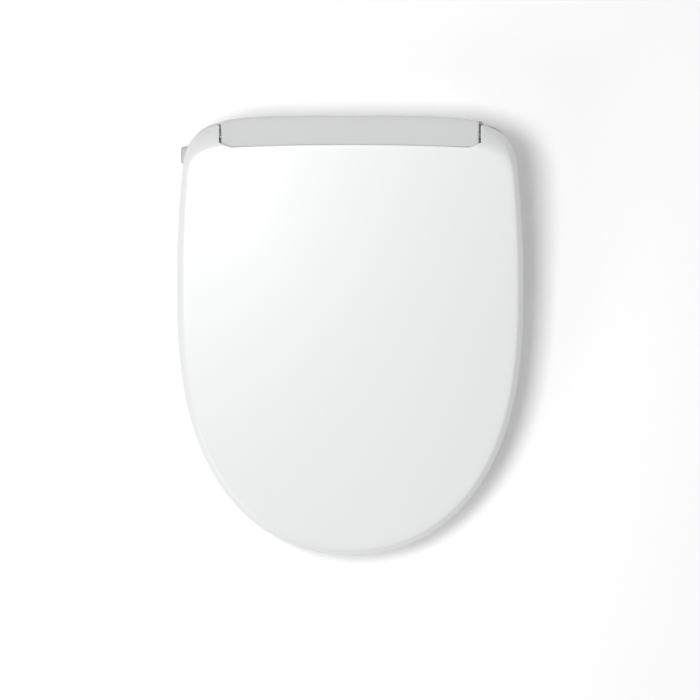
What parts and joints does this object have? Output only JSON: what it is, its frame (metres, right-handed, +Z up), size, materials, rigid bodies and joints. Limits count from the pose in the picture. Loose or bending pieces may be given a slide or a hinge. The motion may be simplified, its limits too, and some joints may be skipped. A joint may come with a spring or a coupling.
{
  "type": "electric bidet seat",
  "caption": "Elongated bidet seat: sloping lid over a heated ring seat on a rear housing with nozzle, dryer, hinge hump, side inlet and slide-on mounting plate.",
  "frame": {"origin": "middle between the two bowl bolt slots, on the underside of the mounting plate, the plane that the seat's feet rest on", "axes": "+Z up, -Y towards the rounded front of the seat, +Y towards the wall behind, +X to the right seen from the front above"},
  "size_m": [0.4078, 0.519, 0.119],
  "materials": {
    "gloss_white": "glossy moulded plastic",
    "satin_white": "satin moulded plastic",
    "grey_plastic": "satin moulded plastic",
    "dark_plastic": "fine-textured plastic",
    "grey_rubber": "soft matte rubber",
    "black_rubber": "soft matte rubber",
    "smoke_lens": "polished dark lens",
    "milk_lens": "frosted lens",
    "water_blue": "moulded plastic",
    "board_green": "lacquered board",
    "steel": "turned and brushed",
    "copper_foil": "etched foil"
  },
  "bodies": {
    "housing": {"housing_base": "satin_white", "housing_cover": "gloss_white", "cover_screw_left": "steel", "cover_screw_right": "steel", "drain_plug": "grey_plastic", "ir_window": "smoke_lens", "night_light": "milk_lens", "hinge_shaft_left": "steel", "hinge_shaft_right": "steel", "seat_damper": "dark_plastic", "lid_damper": "dark_plastic", "nozzle_motor": "steel", "nozzle_cradle": "grey_plastic", "blower_housing": "dark_plastic", "dryer_duct": "grey_plastic", "dryer_heater": "copper_foil", "deodorizer_fan_frame": "dark_plastic", "inlet_elbow": "grey_plastic", "inlet_strainer": "steel", "inlet_valve": "dark_plastic", "flow_sensor": "water_blue", "water_tank": "grey_plastic", "water_pump": "steel", "diverter_valve": "grey_plastic", "vacuum_breaker": "water_blue", "hose_sensor_to_tank": "grey_rubber", "hose_tank_to_pump": "grey_rubber", "hose_tank_to_diverter": "grey_rubber", "main_board": "board_green", "power_supply": "dark_plastic", "cord_gland": "black_rubber", "latch_spring": "steel"},
    "seat": {"seat_top_shell": "gloss_white", "seat_bottom_shell": "satin_white", "seat_heater": "copper_foil", "seat_sensor": "dark_plastic", "seat_arm_left": "satin_white", "seat_arm_right": "satin_white", "seat_foot_front_left": "grey_rubber", "seat_foot_front_right": "grey_rubber", "seat_foot_rear_left": "grey_rubber", "seat_foot_rear_right": "grey_rubber"},
    "lid": {"lid_shell": "gloss_white", "lid_liner": "satin_white", "lid_arm_left": "satin_white", "lid_arm_right": "satin_white", "lid_bumper_left": "grey_rubber", "lid_bumper_right": "grey_rubber"},
    "nozzle": {"nozzle_wand": "satin_white", "nozzle_tip": "grey_plastic"},
    "nozzle_gear": {"nozzle_gear": "grey_plastic"},
    "blower_impeller": {"blower_impeller": "grey_plastic"},
    "deodorizer_rotor": {"deodorizer_rotor": "grey_plastic"},
    "dryer_flap": {"dryer_flap": "satin_white"},
    "filter_cartridge": {"filter_cartridge": "grey_plastic"},
    "mounting_plate": {"mounting_plate": "grey_plastic"},
    "release": {"latch_slider": "satin_white", "release_button": "grey_plastic"},
    "wash_button": {"wash_button": "grey_plastic"},
    "stop_button": {"stop_button": "grey_plastic"}
  },
  "joints": [
    {"name": "seat_hinge", "type": "hinge", "parent": "housing", "child": "seat", "pos_m": [0, 0.025, 0.09], "axis": [1, 0, 0], "range_deg": [-97, 0]},
    {"name": "lid_hinge", "type": "hinge", "parent": "seat", "child": "lid", "pos_m": [0, 0.025, 0.09], "axis": [-1, 0, 0], "range_deg": [0, 100]},
    {"name": "nozzle_slide", "type": "slide", "parent": "housing", "child": "nozzle", "axis": [0, -0.9659, -0.2588], "range_m": [0, 0.1]},
    {"name": "nozzle_gear_turn", "type": "hinge", "parent": "housing", "child": "nozzle_gear", "pos_m": [0, -0.077, 0.03537], "axis": [1, 0, 0], "range_deg": [-720, 0]},
    {"name": "blower_spin", "type": "hinge", "parent": "housing", "child": "blower_impeller", "pos_m": [0.104, -0.054, 0.017], "axis": [0, 0, 1], "continuous": true},
    {"name": "deodorizer_spin", "type": "hinge", "parent": "housing", "child": "deodorizer_rotor", "pos_m": [0.158, -0.02, 0.016], "axis": [0, 0, 1], "continuous": true},
    {"name": "dryer_flap_hinge", "type": "hinge", "parent": "housing", "child": "dryer_flap", "pos_m": [0.042, -0.1072, 0.0374], "axis": [-1, 0, 0], "range_deg": [0, 75]},
    {"name": "filter_slide", "type": "slide", "parent": "housing", "child": "filter_cartridge", "axis": [1, 0, 0], "range_m": [0, 0.048]},
    {"name": "plate_slide", "type": "slide", "parent": "housing", "child": "mounting_plate", "axis": [0, 1, 0], "range_m": [0, 0.06]},
    {"name": "release_press", "type": "slide", "parent": "housing", "child": "release", "axis": [-1, 0, 0], "range_m": [0, 0.004], "stiffness_N_per_m": 300, "springref_m": -0.002, "deforming": ["latch_spring"]},
    {"name": "wash_press", "type": "slide", "parent": "housing", "child": "wash_button", "axis": [-1, 0, 0], "range_m": [0, 0.002], "stiffness_N_per_m": 400, "springref_m": -0.001},
    {"name": "stop_press", "type": "slide", "parent": "housing", "child": "stop_button", "axis": [-1, 0, 0], "range_m": [0, 0.002], "stiffness_N_per_m": 400, "springref_m": -0.001}
  ],
  "couplings": [
    {"joint": "nozzle_gear_turn", "follows": "nozzle_slide", "rad_per_m": -122.72}
  ]
}
